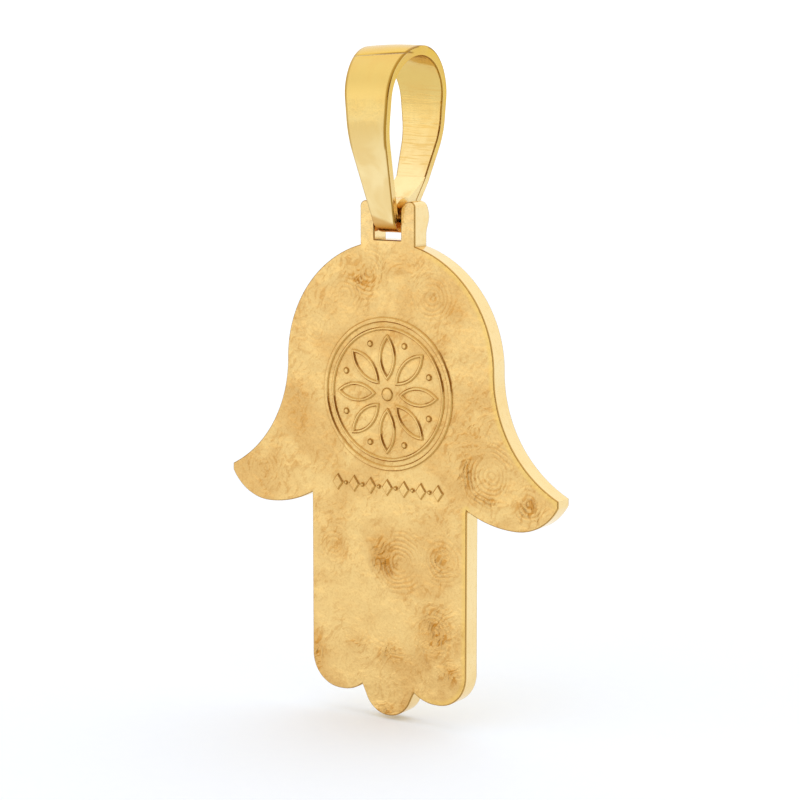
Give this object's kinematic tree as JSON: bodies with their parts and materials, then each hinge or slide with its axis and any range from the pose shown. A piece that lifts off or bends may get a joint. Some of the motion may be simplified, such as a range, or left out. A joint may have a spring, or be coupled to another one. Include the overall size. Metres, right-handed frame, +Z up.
{
  "type": "hamsa pendant",
  "caption": "Flat cast hand pendant with an ornamented back, hanging free on a pin between two ears from a tapered strap bail for a chain.",
  "frame": {"origin": "the chain's seat, on the inside of the bail's top, midway across the strap", "axes": "+Z up, +Y towards the ornamented back of the hand, -Y towards its plain front, X across the hand and along the swing pin"},
  "size_m": [0.0292, 0.008, 0.0502],
  "materials": {
    "plate_gold": "satin, finely pitted yellow gold with soft tool marks",
    "bail_gold": "hand-polished yellow gold with fine scratches"
  },
  "bodies": {
    "bail": {"bail": "bail_gold"},
    "hand_plate": {"hand_plate": "plate_gold"}
  },
  "joints": [
    {"name": "hand_swing", "type": "hinge", "parent": "bail", "child": "hand_plate", "pos_m": [0, 0.00039, -0.01169], "axis": [1, 0, 0], "range_deg": [-82, 84]}
  ]
}
